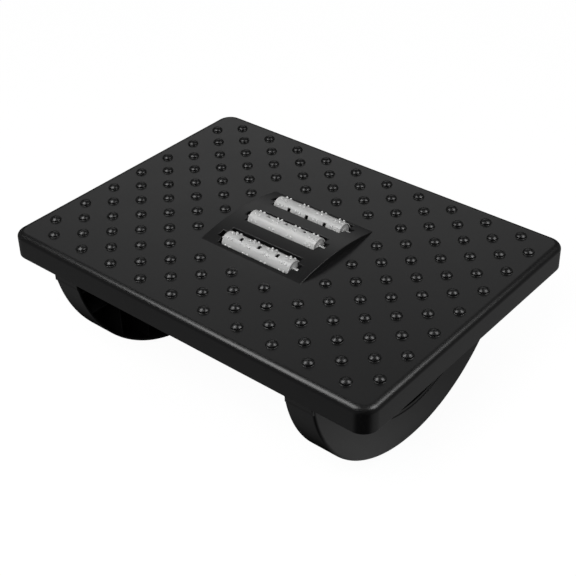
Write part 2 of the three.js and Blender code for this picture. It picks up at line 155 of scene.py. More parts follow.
class FootrestRollers(bpy.types.PropertyGroup):
    radius: length("Radius", "Radius of a sleeve", 0.0096)
    wall: length("Wall", "Thickness of a sleeve", 0.0014)
    rim: length("Rim", "Radius on a sleeve's ends", 0.0004)
    nub_radius: length("Nub radius", "Radius of a nub", 0.0013)
    nub_height: length("Nub height", "Height of a nub", 0.0015)
    nub_spacing: length("Nub spacing", "Distance between the two nubs of a pair", 0.005)
    pair_pitch: length("Pair pitch", "Distance from pair to pair", 0.0225)
    pairs: IntProperty(name="Pairs", description="Pairs of nubs in a row", default=4, min=1)
    rows: IntProperty(name="Rows", description="Rows of nubs round a sleeve", default=8, min=1)
    row_offset: turn("Row offset", "From the windows to the next row of nubs", 12)
    window_width: length("Window width", "Width of a window along the roller", 0.0038)
    window_length: length("Window length", "Length of a window round the roller", 0.0058)
    turn_front: turn("Front turn", "Where the front roller's windows lie above the front", 84)
    turn_middle: turn("Middle turn", "Where the middle roller's windows lie", 107)
    turn_back: turn("Back turn", "Where the back roller's windows lie", 28)
    plug_depth: length("Plug depth", "How far a plug lies inside its sleeve", 0.0004)
    plug_gap: length("Plug gap", "From a plug to its sleeve", 0.0003)
    stub_radius: length("Stub radius", "Radius of a stub axle", 0.0024)
    stub_length: length("Stub length", "How far a stub reaches past the sleeve", 0.0064)


class FootrestRockers(bpy.types.PropertyGroup):
    centre_drop: length("Centre drop", "Centre of the arc below the deck's top", 0.0035)
    ear_reach: length("Ear reach", "How far the screw ears stand out", 0.018)
    ear_width: length("Ear width", "Width of a screw ear", 0.026)
    ear_corner: length("Ear corner", "Radius of an ear's corners", 0.004)
    ear_step: length("Ear step", "How far an ear lies below the flange", 0.0004)
    skin: length("Skin", "Thickness of the round tread", 0.0022)
    face: length("Face", "Thickness of the outer face", 0.0025)
    edge: length("Edge", "Radius of the outer edge", 0.003)
    rim: length("Rim", "Radius of the small edges", 0.0006)
    ring: length("Ring", "Width of the flat ring round the sunk panel", 0.0428)
    sink: length("Sink", "Depth of the sunk panel", 0.008)
    step: length("Step", "Width of the low step along the ring's inner edge", 0.0036)
    step_depth: length("Step depth", "How far the step lies below the ring", 0.0008)
    flange: length("Flange", "Thickness of the flange under the deck", 0.0025)
    fit: length("Fit", "Clearance to the deck's walls", 0.0004)
    shoulder: length("Shoulder", "From the deck's lower edge to the shoulder that it sits on", 0.0003)
    collar: length("Collar", "How far the collar reaches down behind the tread", 0.008)
    rib: length("Rib", "Thickness of the ribs inside", 0.0016)
    rib_setback: length("Rib setback", "Upright ribs from the open side", 0.0015)
    level_setback: length("Level setback", "Level ribs from the open side", 0.0023)
    rib_pitch: length("Rib pitch", "Distance between the upright ribs", 0.0358)
    rib_level: length("Rib level", "First level rib below the centre of the arc", 0.0389)
    level_step: length("Level step", "Distance between the level ribs", 0.0292)
    levels: IntProperty(name="Levels", description="Level ribs in a rocker", default=2, min=0)


class FootrestScrews(bpy.types.PropertyGroup):
    head_height: length("Head height", "Height of the head", 0.0024)
    shank: length("Shank", "Radius of the shank", 0.0017)


class FootrestFinish(bpy.types.PropertyGroup):
    black: colour("Black", "Black plastic of the deck and rockers", (0.004, 0.004, 0.0042))
    grey: colour("Grey", "Grey plastic of the rollers", (0.60, 0.60, 0.595))
    # Painted highlight: how many times paler than the sleeve the tops of the nubs are
    tip: level("Tip", "How much paler the rubbed tips of the nubs are", 1.4)
    # Colour of the painted shade inside the sleeves
    bore: colour("Bore", "Dark inside of the sleeves", (0.01, 0.01, 0.01))
    steel: colour("Steel", "Zinc-plated steel of the screws", (0.52, 0.53, 0.54))
    deck_roughness: share("Deck roughness", "Roughness of the deck", 0.32)
    rocker_roughness: share("Rocker roughness", "Roughness of the rockers", 0.36)
    grain: length("Grain", "Size of the moulded grain", 0.0006)


class FootrestStudio(bpy.types.PropertyGroup):
    floor_size: length("Floor", "Length of the floor's sides", 12)
    floor_shade: share("Floor shade", "How much the floor shows of its shading", 0.12)
    floor_glow: level("Floor glow", "White of the floor before its shading", 1.08)
    floor_white: share("Floor white", "Paleness of the floor where it shows its shading", 0.9)
    floor_bounce: share("Floor bounce", "Share of light that the floor throws back", 0.35)
    # Painted reflection of the floor: how bright it glows where mirrored, and where its painted shade
    # fades
    mirror_front: share("Mirrored front", "Floor before the deck, mirrored", 0.17)
    mirror_right: share("Mirrored right", "Floor right of the deck, mirrored", 0.25)
    mirror_rocker: share("Mirrored rocker", "Floor beside the right rocker, mirrored", 0.4)
    mirror_x: length("Mirror X", "Where the floor before the deck ends, mirrored", 0.172)
    mirror_near: length("Mirror near", "How far the dark fades on each side of the deck's front", 0.045)
    mirror_blend: length("Mirror blend", "Width of those changes", 0.03)
    # Each lamp's values share a first word: key, rim or fill
    key_azimuth: turn("Key azimuth", "Left lamp, from the front towards +X", -48)
    key_elevation: turn("Key elevation", "Left lamp above the horizon", 61)
    key_distance: length("Key distance", "From the deck to the left lamp", 1.0)
    key_size: length("Key size", "Side of the left lamp", 0.5)
    key_power: watts("Key power", "Left lamp", 5.5)
    rim_azimuth: turn("Rim azimuth", "Right lamp, from the front towards +X", 126)
    rim_elevation: turn("Rim elevation", "Right lamp above the horizon", 55)
    rim_distance: length("Rim distance", "From the deck to the right lamp", 1.4)
    rim_size: length("Rim size", "Side of the right lamp", 0.6)
    rim_power: watts("Rim power", "Right lamp", 8)
    room: level("Room", "Soft light from all round", 0.35)
    room_mirrored: level("Mirrored room", "Dark of the room, mirrored", 0.03)
    side_mirrored: level("Mirrored sides", "Low left and right, mirrored", 0.13)
    card: level("Card", "Brightness of the card low behind the deck, mirrored", 0.9)
    card_azimuth: turn("Card azimuth", "The card, from the front towards +X", -141)
    fill_azimuth: turn("Fill azimuth", "Soft lamp beside the camera, from the front towards +X", 25)
    fill_elevation: turn("Fill elevation", "Soft lamp above the horizon", 42)
    fill_distance: length("Fill distance", "From the deck to the soft lamp", 1.3)
    fill_size: length("Fill size", "Side of the soft lamp", 0.55)
    fill_power: watts("Fill power", "Soft lamp, left out of reflections", 8)
    camera_place: FloatVectorProperty(
        name="Camera",
        description="Where the camera stands",
        default=(0.6412, -0.74677, 0.80489),
        subtype="TRANSLATION",
    )
    camera_tilt: turn("Camera tilt", "Up from straight down", 55.331)
    camera_roll: turn("Camera roll", "About the view", 0.840)
    camera_heading: turn("Camera heading", "About the upright", 39.312)
    lens: FloatProperty(name="Lens", description="Focal length", default=75.40, unit="CAMERA")
    shift_x: framing("Shift X", "Sideways framing", -0.0199)
    shift_y: framing("Shift Y", "Upright framing", -0.0322)


# Keeps two faces of one piece from lying in the same plane
HAIR = 0.00005

# Lines of a grid, and points of a turned shape, that are closer than this are one
SAME_LINE = 0.0005
SAME_POINT = 1e-7


def chosen(group):
    """The values that the user has set for one group of pieces"""
    return getattr(bpy.context.scene, "footrest_" + group)


# Places that several pieces share


def deck_top():
    return deck_high.z - chosen("panel").height


def rib_bottom():
    deck = chosen("deck")
    return deck_top() - deck.skin - deck.rib_depth


def arch_height(y):
    """Height of the arch over the deck's top at a distance from its middle line"""
    panel = chosen("panel")
    radius = (panel.half_width**2 + panel.height**2) / (2 * panel.height)
    return sqrt(radius**2 - y**2) - radius + panel.height


def half_panel():
    return chosen("panel").half_width


def arch_z(y):
    half = half_panel()
    return deck_top() + arch_height(max(-half, min(half, y - panel_y)))


def quarter(steps):
    """A rounded corner of radius 1: its distances from both sides, the first from 0 to 1"""
    angles = [radians(90 * k / steps) for k in range(steps + 1)]
    return [(1 - cos(a), 1 - sin(a)) for a in angles]


# Mesh tools


def rounded_ring(half_x, half_y, radius, z, steps=12):
    """Corners of a rounded rectangle, anticlockwise, at a height"""
    points = []
    for sx, sy, start in ((1, -1, -90), (1, 1, 0), (-1, 1, 90), (-1, -1, 180)):
        for k in range(steps + 1):
            a = radians(start + 90 * k / steps)
            x = sx * (half_x - radius) + radius * cos(a)
            y = sy * (half_y - radius) + radius * sin(a)
            points.append(Vector((x, y, z)))
    return points


def loft(bm, rings):
    """Joins closed rings of the same length with quads, outside facing out when they rise"""
    made = [[bm.verts.new(p) for p in ring] for ring in rings]
    for low, high in zip(made, made[1:]):
        for k in range(len(low)):
            n = (k + 1) % len(low)
            bm.faces.new((low[k], low[n], high[n], high[k]))
    return made


def loop_edges(bm, verts):
    return [bm.edges.get((a, b)) or bm.edges.new((a, b)) for a, b in zip(verts, verts[1:] + verts[:1])]


def face_up(faces, sign):
    for face in faces:
        face.normal_update()
        if face.normal.z * sign < 0:
            face.normal_flip()


def plate_with_hole(bm, outer, hole, sign):
    """Fills between an outer ring and a rectangular hole"""
    edges = loop_edges(bm, outer) + loop_edges(bm, hole)
    made = bmesh.ops.triangle_fill(bm, use_beauty=True, use_dissolve=True, edges=edges)
    face_up([g for g in made["geom"] if isinstance(g, bmesh.types.BMFace)], sign)


def prism(bm, outline, place, depth):
    """Draws a closed outline of (u, v) out along its third axis; place maps (u, v, w) to the scene"""
    near = [bm.verts.new(place @ Vector((u, v, 0))) for u, v in outline]
    far = [bm.verts.new(place @ Vector((u, v, depth))) for u, v in outline]
    faces = [bm.faces.new(near), bm.faces.new(far[::-1])]
    for k in range(len(near)):
        n = (k + 1) % len(near)
        faces.append(bm.faces.new((near[n], near[k], far[k], far[n])))
    bmesh.ops.recalc_face_normals(bm, faces=faces)
    return faces


# Maps an outline of (y, z) to a piece drawn out along X
ALONG_X = Matrix(((0, 0, 1, 0), (1, 0, 0, 0), (0, 1, 0, 0), (0, 0, 0, 1)))


def along_x(x, y=0, z=0):
    return Matrix.Translation((x, y, z)) @ ALONG_X


def block(bm, low, high):
    """A wall between two corners"""
    outline = [(low[0], low[1]), (high[0], low[1]), (high[0], high[1]), (low[0], high[1])]
    return prism(bm, outline, Matrix.Translation((0, 0, low[2])), high[2] - low[2])


def lathe(bm, profile, place, steps=32, arc=2 * pi, start=0, closed=False):
    """Turns a profile of (height, radius) about the Z axis of place"""
    count = steps if arc == 2 * pi else steps + 1
    rings = []
    for k in range(count):
        a = start + arc * k / steps
        corners = [Vector((r * cos(a), r * sin(a), h)) for h, r in profile]
        rings.append([bm.verts.new(place @ corner) for corner in corners])
    faces = []
    for k in range(steps):
        one, two = rings[k], rings[(k + 1) % count]
        last = len(profile) if closed else len(profile) - 1
        for i in range(last):
            n = (i + 1) % len(profile)
            faces.append(bm.faces.new((one[i], two[i], two[n], one[n])))
    verts = [v for ring in rings for v in ring]
    bmesh.ops.remove_doubles(bm, verts=verts, dist=SAME_POINT)
    bmesh.ops.recalc_face_normals(bm, faces=[f for f in faces if f.is_valid])


def arc_points(centre, radius, start, end, steps):
    """(height, radius) points on an arc; angles in degrees from the height axis towards the radius"""
    points = []
    for k in range(steps + 1):
        a = radians(start + (end - start) * k / steps)
        points.append((centre[0] + radius * cos(a), centre[1] + radius * sin(a)))
    return points


def grid_shell(bm, us, vs, outer, inner, is_hole, wrap=False):
    """A sheet of quads, another behind it and walls at its open edges, whose front rims get a bevel"""
    rows = len(vs) if wrap else len(vs) - 1
    weights, name = bm.edges.layers.float, "bevel_weight_edge"
    rim = weights.get(name) or weights.new(name)
    front, back, kept = {}, {}, set()

    def v_at(j):
        return vs[j] if j < len(vs) else vs[j - len(vs)] + 2 * pi

    for i in range(len(us) - 1):
        for j in range(rows):
            if not is_hole((us[i] + us[i + 1]) / 2, (v_at(j) + v_at(j + 1)) / 2):
                kept.add((i, j))

    def vert(table, shape, i, j):
        key = (i, j % len(vs))
        if key not in table:
            table[key] = bm.verts.new(shape(us[i], vs[key[1]]))
        return table[key]

    faces = []
    for i, j in kept:
        corners = [(i, j), (i + 1, j), (i + 1, j + 1), (i, j + 1)]
        beyond = [(i, j - 1), (i + 1, j), (i, j + 1), (i - 1, j)]
        faces.append(bm.faces.new([vert(front, outer, *c) for c in corners]))
        faces.append(bm.faces.new([vert(back, inner, *c) for c in reversed(corners)]))
        for k in range(4):
            other = (beyond[k][0], beyond[k][1] % rows) if wrap else beyond[k]
            if other in kept:
                continue
            a, b = corners[k], corners[(k + 1) % 4]
            quad = [vert(front, outer, *b), vert(front, outer, *a)]
            quad += [vert(back, inner, *a), vert(back, inner, *b)]
            faces.append(bm.faces.new(quad))
            foot = not wrap and not 0 <= beyond[k][1] < rows
            bm.edges.get(quad[:2])[rim] = 0 if foot else 1
    bmesh.ops.recalc_face_normals(bm, faces=faces)


def add_object(name, data):
    made = bpy.data.objects.new(name, data)
    bpy.context.scene.collection.objects.link(made)
    return made


def add_mesh(name, bm, finish):
    mesh = bpy.data.meshes.new(name)
    bm.to_mesh(mesh)
    bm.free()
    mesh.materials.append(finish)
    return add_object(name, mesh)


def piece(name, bm, finish, body, nodes=(), bevel=0, weighted=False, sharp=35):
    """Makes the object, gives it its finish and its soft edges, and lets it ride on its body"""
    made = add_mesh(name, bm, finish)
    made.data.shade_smooth()
    made.data.set_sharp_from_angle(angle=radians(sharp))
    if bevel:
        soft = made.modifiers.new("soft edges", "BEVEL")
        soft.width = bevel
        soft.segments = 3
        soft.limit_method = "WEIGHT" if weighted else "ANGLE"
        soft.angle_limit = radians(sharp)
    even = made.modifiers.new("even shading", "WEIGHTED_NORMAL")
    even.keep_sharp = True
    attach(made, body)
    if nodes:
        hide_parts(*nodes)
    return made


# Materials


def grey(share):
    """A grey from 0, black, to 1, white, as a socket takes it"""
    return (share, share, share, 1)


WHITE, BLACK = grey(1), grey(0)


class Wire:
    """A node's output that Python sums can use: each operation adds its Math node"""

    def __init__(self, finish, socket):
        self.finish = finish
        self.socket = socket

    def _sum(self, operation, first, second):
        return self.finish.add("Math", {0: first, 1: second}, {"operation": operation})

    def __add__(self, other):
        return self._sum("ADD", self, other)

    def __radd__(self, other):
        return self._sum("ADD", other, self)

    def __sub__(self, other):
        return self._sum("SUBTRACT", self, other)

    def __rsub__(self, other):
        return self._sum("SUBTRACT", other, self)

    def __mul__(self, other):
        return self._sum("MULTIPLY", self, other)

    def __rmul__(self, other):
        return self._sum("MULTIPLY", other, self)


class Finish:
    """A material in the making, or the room's light when a world is given"""

    def __init__(self, name, world=None):
        self.material = world or bpy.data.materials.new(name)
        self.material.use_nodes = True
        self.tree = self.material.node_tree
        self.tree.nodes.clear()
        self.end = "OutputWorld" if world else "OutputMaterial"
        self.place = self.add("TexCoord", output="Generated" if world else "Object")

    def add(self, kind, sockets=None, settings=None, output=0):
        """Adds a node, a ramp's stops being among its settings, and fills or links its sockets"""
        node = self.tree.nodes.new("ShaderNode" + kind)
        for key, value in (settings or {}).items():
            if key == "stops":
                stops = node.color_ramp.elements
                while len(stops) < len(value):
                    stops.new(1)
                for stop, (position, share) in zip(stops, value):
                    stop.position = position
                    stop.color = grey(share)
            else:
                setattr(node, key, value)
        for key, value in (sockets or {}).items():
            if isinstance(value, Wire):
                self.tree.links.new(value.socket, node.inputs[key])
            else:
                node.inputs[key].default_value = value
        return Wire(self, node.outputs[output] if node.outputs else None)

    def noise(self, size, detail=2.0, roughness=0.5):
        """Soft random values whose features are about the given size"""
        sockets = {"Vector": self.place, "Scale": 1 / size, "Detail": detail, "Roughness": roughness}
        return self.add("TexNoise", sockets)

    def ramp(self, value, *stops):
        return self.add("ValToRGB", {0: value}, {"stops": stops})

    def shade(self, value, dark, light):
        """A colour between two, each three numbers or a wire, by a value"""
        ends = [end if isinstance(end, Wire) else (*end, 1) for end in (dark, light)]
        sockets = {0: value, 6: ends[0], 7: ends[1]}
        return self.add("Mix", sockets, {"data_type": "RGBA", "clamp_factor": True}, output=2)

    def bump(self, height, distance, strength=1.0):
        sockets = {"Height": height, "Distance": distance, "Strength": strength}
        return self.add("Bump", sockets)

    def parts(self, vector, *which):
        """Some of the three numbers of a vector, by their place"""
        return [self.add("SeparateXYZ", {0: vector}, output=k) for k in which]

    def mix(self, share, first, second):
        """One shader, or another by a share from 0 to 1"""
        return self.add("MixShader", {0: share, 1: first, 2: second})

    def by_ray(self, ray, otherwise, then):
        """One shader for a kind of ray, such as Is Camera Ray, and another for the rest"""
        return self.mix(self.add("LightPath", output=ray), otherwise, then)

    def shows(self, shader):
        """Ends the tree with a shader"""
        self.add(self.end, {"Surface": shader})
        return self.material

    def surface(self, **sockets):
        """Ends it with the Principled surface; a socket's name is written with underscores"""
        named = {key.replace("_", " "): value for key, value in sockets.items()}
        return self.shows(self.add("BsdfPrincipled", named))


def scaled(values, times):
    return tuple(value * times for value in values)


def made_once(make):
    """A finish that is there by its name already is used again"""
    return lambda name, *values: bpy.data.materials.get(name) or make(name, *values)


@made_once
def black_plastic(name, roughness):
    """Black moulded plastic: fine spark-eroded grain, faint flow clouds and a little rubbing"""
    choice = chosen("finish")
    made = Finish(name)
    grain = made.noise(choice.grain, detail=3.0, roughness=0.6)
    cloud = made.noise(choice.grain * 90, detail=2.0)
    scuff = made.noise(choice.grain * 12, detail=4.0, roughness=0.65)
    rubbed_and_painted_highlight = made.ramp(scuff, (0.55, 0), (0.75, 1))
    mottle = cloud * 0.7 + grain * 0.3
    return made.surface(
        Base_Color=made.shade(mottle, scaled(choice.black, 0.85), scaled(choice.black, 1.25)),
        Roughness=roughness - 0.05 + 0.06 * cloud + 0.05 * grain - 0.03 * rubbed_and_painted_highlight,
        Normal=made.bump(grain, distance=0.00001, strength=0.5),
        IOR=1.49,
    )


@made_once
def grey_plastic(name, bore=None, tips=None):
    """Light grey moulded plastic with a faint mottle

    On a roller's sleeve, the last two values are shares of its radius over the nubs: inside the first the
    inner wall is painted near black, a painted shade, and outside the second the nubs are painted paler,
    a painted highlight.
    """
    choice = chosen("finish")
    made = Finish(name)
    grain = made.noise(choice.grain * 0.7, detail=3.0)
    cloud = made.noise(choice.grain * 10, detail=3.0, roughness=0.6)
    tone = made.shade(cloud, scaled(choice.grey, 0.92), scaled(choice.grey, 1.06))
    if bore:
        # Across the sleeve's box a place runs from 0 to 1, so the nubs end half a unit from its middle
        box = made.add("TexCoord", output="Generated")
        y, z = (place - 0.5 for place in made.parts(box, 1, 2))
        away = y * y + z * z
        inside, outside, blend, painted_highlight_full = (bore / 2) ** 2, (tips / 2) ** 2, 0.005, 0.24
        # Painted shade: the sleeve's inner wall and the insides of its windows blend to a near-black
        # colour
        wall = made.ramp(away, (inside - blend, 0), (inside + blend, 1))
        # Painted highlight: the nubs blend to a paler grey towards their tops
        rubbed_and_painted_highlight = made.ramp(away, (outside, 0), (painted_highlight_full, 1))
        tone = made.shade(wall, choice.bore, tone)
        tone = made.shade(rubbed_and_painted_highlight, tone, scaled(choice.grey, choice.tip))
    return made.surface(
        Base_Color=tone,
        Roughness=0.38 + 0.08 * cloud,
        Normal=made.bump(grain * 0.4 + cloud * 0.6, distance=0.00004, strength=0.6),
        IOR=1.46,
    )


@made_once
def zinc_steel(name):
    """Zinc-plated steel with a fine turned grain"""
    choice = chosen("finish")
    made = Finish(name)
    grain = made.noise(choice.grain * 0.5, detail=4.0)
    return made.surface(
        Base_Color=made.shade(grain, scaled(choice.steel, 0.8), scaled(choice.steel, 1.1)),
        Roughness=0.28 + 0.2 * grain,
        Metallic=1.0,
        Normal=made.bump(grain, distance=0.00002, strength=0.4),
    )


# Deck


def tray(bm):
    """Walls, rounded edge, skin and lip, open where the roller panel stands"""
    deck = chosen("deck")
    half_x, half_y = deck_high.x, deck_high.y
    low, top = deck_low.z, deck_top()
    slope = deck.draft / (top - low)

    def ring(inset, z):
        inward = inset + slope * (z - low)
        return rounded_ring(half_x - inward, half_y - inward, deck.corner - inward, z)

    inner_lip = deck.wall - deck.lip
    inside = top - deck.skin
    rings = [ring(deck.wall + deck.lip / 2, inside), ring(deck.wall, inside - deck.lip / 2)]
    for across, up in quarter(3):
        rings.append(ring(deck.wall - inner_lip * across, low + inner_lip * up))
    for across, up in quarter(5):
        rings.append(ring(deck.lip * up, low + deck.lip * across))
    for across, up in quarter(14):
        rings.append(ring(deck.edge_width * across, top - deck.edge * up))
    made = loft(bm, rings)
    opening_x = chosen("panel").half_length - deck.skin
    opening_y = half_panel() - 2 * deck.skin
    corners = [(1, -1), (1, 1), (-1, 1), (-1, -1)]
    for ring_verts, z, sign in ((made[-1], top, 1), (made[0], inside, -1)):
        hole = [bm.verts.new((sx * opening_x, panel_y + sy * opening_y, z)) for sx, sy in corners]
        plate_with_hole(bm, ring_verts, hole, sign)


def add_studs(bm):
    """Round studs on a diagonal lattice: a dome, a rounded shoulder and a small hollow at the foot"""
    studs = chosen("studs")
    panel = chosen("panel")
    out = studs.radius - studs.shoulder
    tilt = asin(out / (studs.dome - studs.shoulder))
    centre = studs.height - studs.dome
    side = centre + (studs.dome - studs.shoulder) * cos(tilt)
    profile = arc_points((centre, 0), studs.dome, 0, degrees(tilt), 6)
    profile += arc_points((side, out), studs.shoulder, degrees(tilt), 90, 6)[1:]
    profile += arc_points((studs.foot, studs.radius + studs.foot), studs.foot, 270, 180, 4)
    clear_x = panel.half_length + studs.radius
    clear_y = panel.half_width + studs.radius + abs(panel_y)
    foot_z = deck_top() + HAIR / 5
    columns = int((deck_high.x - studs.margin) / studs.pitch)
    rows = int((deck_high.y - studs.margin) / studs.pitch_deep)
    for i in range(-columns, columns + 1):
        for j in range(-rows, rows + 1):
            x, y = i * studs.pitch, j * studs.pitch_deep + studs.shift
            in_panel = abs(x) < clear_x and abs(y) < clear_y
            if (i + j) % 2 == 0 and not in_panel:
                lathe(bm, profile, Matrix.Translation((x, y, foot_z)), steps=28)


def sorted_lines(fixed, spare):
    """The fixed lines and those spare ones that don't lie on another, in order"""
    kept = sorted(fixed)
    for line in spare:
        if all(abs(line - other) > SAME_LINE for other in kept):
            kept.append(line)
    return sorted(kept)


def add_arch(bm):
    """The arched panel with its slots and axle notches"""
    deck = chosen("deck")
    panel = chosen("panel")
    size = chosen("rollers")
    shift = panel.slots_shift
    half_roller = max(half for _, _, half in rollers)
    slot_x = half_roller + panel.slot_play
    notch_x = slot_x + panel.notch_length
    slot_y = size.radius + panel.slot_gap
    end = panel.half_length
    xs = [-end, -end + deck.skin, end - deck.skin, end]
    xs += [shift + side * x for side in (-1, 1) for x in (slot_x, notch_x)]
    axes = [axis.y for _, axis, _ in rollers]
    cuts = [y + side * half for y in axes for side in (-1, 1) for half in (slot_y, panel.notch_half)]
    start = panel_y - half_panel()
    steps = 48
    spare = [start + 2 * half_panel() * k / steps for k in range(1, steps)]
    ys = sorted_lines(cuts + [start, start + 2 * half_panel()], spare)

    def is_hole(x, y):
        for axis in axes:
            if abs(y - axis) < slot_y and abs(x - shift) < slot_x:
                return True
            if abs(y - axis) < panel.notch_half and abs(x - shift) < notch_x:
                return True
        return False

    def outer(x, y):
        return Vector((x, y, arch_z(y)))

    def inner(x, y):
        at_end = abs(x) > end - deck.skin / 2
        return Vector((x, y, deck_top() - deck.skin / 2 if at_end else arch_z(y) - deck.skin))

    grid_shell(bm, sorted(xs), ys, outer, inner, is_hole)


def add_wells(bm):
    """Walls round the slots and the clips that hold the stub axles"""
    deck = chosen("deck")
    panel = chosen("panel")
    size = chosen("rollers")
    shift = panel.slots_shift
    low = rib_bottom()
    slot_x = rollers[0][2] + panel.slot_play
    notch_x = slot_x + panel.notch_length
    wall = panel.wall
    slot_y = size.radius + panel.slot_gap
    for _, axis, _ in rollers:
        for side in (-1, 1):
            near, far = axis.y + side * (slot_y + HAIR), axis.y + side * (slot_y + wall)
            top = min(arch_z(near), arch_z(far)) - deck.skin / 2
            corner = (shift - notch_x - wall, min(near, far), low)
            block(bm, corner, (shift + notch_x + wall, max(near, far), top))
        # One clip: a block with a round seat for the stub, open at the top between two lips
        reach = degrees(asin(panel.clip_lip / panel.clip_bore))
        half, outside = panel.notch_half + HAIR, panel.notch_half + wall
        base = -panel.clip_bore - wall
        tops = [arch_z(axis.y + s * outside) - axis.z - deck.skin / 2 for s in (-1, 1)]
        outline = [(-outside, base), (outside, base), (outside, tops[1])]
        outline += [(half, tops[1]), (half, panel.clip_lip)]
        steps = 20
        seat = [radians(reach - (180 + 2 * reach) * k / steps) for k in range(steps + 1)]
        outline += [(panel.clip_bore * cos(a), panel.clip_bore * sin(a)) for a in seat]
        outline += [(-half, panel.clip_lip), (-half, tops[0]), (-outside, tops[0])]
        for side in (-1, 1):
            x0 = shift + (slot_x + HAIR if side > 0 else -notch_x - HAIR)
            prism(bm, outline, along_x(x0, axis.y, axis.z), panel.notch_length)
    # End walls, whose tops follow the arch
    reach = rollers[-1][1].y - rollers[0][1].y
    half = reach / 2 + slot_y + wall
    steps = 24
    across = [panel_y + half * (2 * k / steps - 1) for k in range(steps + 1)]
    outline = [(across[0], low), (across[-1], low)]
    outline += [(y, arch_z(y) - deck.skin / 2) for y in reversed(across)]
    for side in (-1, 1):
        x0 = shift + (notch_x + HAIR if side > 0 else -notch_x - HAIR - wall)
        prism(bm, outline, along_x(x0), wall)


def rib_places(start, end):
    """Where ribs stand between two places, no further apart than the pitch"""
    cells = ceil((end - start) / chosen("deck").rib_pitch)
    return [start + (k + 1) * (end - start) / cells for k in range(cells - 1)]


def add_ribs(bm):
    """The grid of ribs below the skin, the frame round the panel and the screw bosses"""
    deck = chosen("deck")
    panel = chosen("panel")
    half = deck.rib / 2
    low, top = rib_bottom(), deck_top() - deck.edge / 2
    lean = deck.wall / 2 + deck.draft
    end_x, end_y = deck_high.x - lean, deck_high.y - lean
    frame_x, frame_y = panel.half_length + deck.rib, panel.half_width + deck.rib
    front, back = panel_y - frame_y, panel_y + frame_y

    def across(x, y0, y1):
        block(bm, (x - half, y0, low), (x + half, y1, top))

    def along(y, x0, x1):
        block(bm, (x0, y - half, low), (x1, y + half, top))

    for x in rib_places(frame_x, deck_high.x) + [frame_x]:
        across(x, -end_y, end_y)
        across(-x, -end_y, end_y)
    for x in rib_places(-frame_x, frame_x):
        across(x, -end_y, front)
        across(x, back, end_y)
    for y in (front, back):
        along(y, -frame_x, frame_x)
    for y in rib_places(deck_low.y, deck_high.y):
        if front < y < back:
            along(y, -end_x, -frame_x)
            along(y, frame_x, end_x)
        else:
            along(y, -end_x, end_x)
    for screw_low, screw_high in screws.values():
        x, y = (screw_low.x + screw_high.x) / 2, (screw_low.y + screw_high.y) / 2
        tube = [(low, deck.hole), (top, deck.hole), (top, deck.boss), (low, deck.boss)]
        lathe(bm, tube, Matrix.Translation((x, y, 0)), steps=24, closed=True)


# Rockers


def rocker_profile(size, inner_x, outer_x, radius):
    """Closed section of the tray, (x, radius) from the arc's centre outwards"""
    ring_in = radius - size.ring
    back_x = outer_x - size.sink
    soft = size.rim
    outside = [(back_x, 0), (back_x, ring_in - soft)]
    outside += arc_points((back_x + soft, ring_in - soft), soft, 180, 90, 3)
    low_x, step_in, fine = outer_x - size.step_depth, ring_in + size.step, size.step_depth / 2
    outside += arc_points((low_x - soft, ring_in + soft), soft, -90, 0, 3)
    outside += [(low_x, step_in - fine)]
    outside += arc_points((outer_x - fine, step_in + fine), fine, -90, 0, 3)
    outside += arc_points((outer_x - size.edge, radius - size.edge), size.edge, 0, 90, 10)
    outside += arc_points((inner_x + soft, radius - soft), soft, 90, 180, 3)
    inside = arc_points((inner_x + soft, radius - size.skin + soft), soft, 180, 270, 3)
    hollow = size.edge / 2
    inside += arc_points((outer_x - size.face - hollow, radius - size.skin - hollow), hollow, 90, 0, 4)
    inside += [(outer_x - size.face, ring_in + size.face), (back_x - size.face, ring_in + size.face)]
    inside += [(back_x - size.face, 0)]
    return outside + inside


def rocker_sides():
    """Where the open side and the outer face of the right rocker lie"""
    reach = chosen("rockers").ear_reach
    return rocker_low.x + reach, rocker_high.x - reach


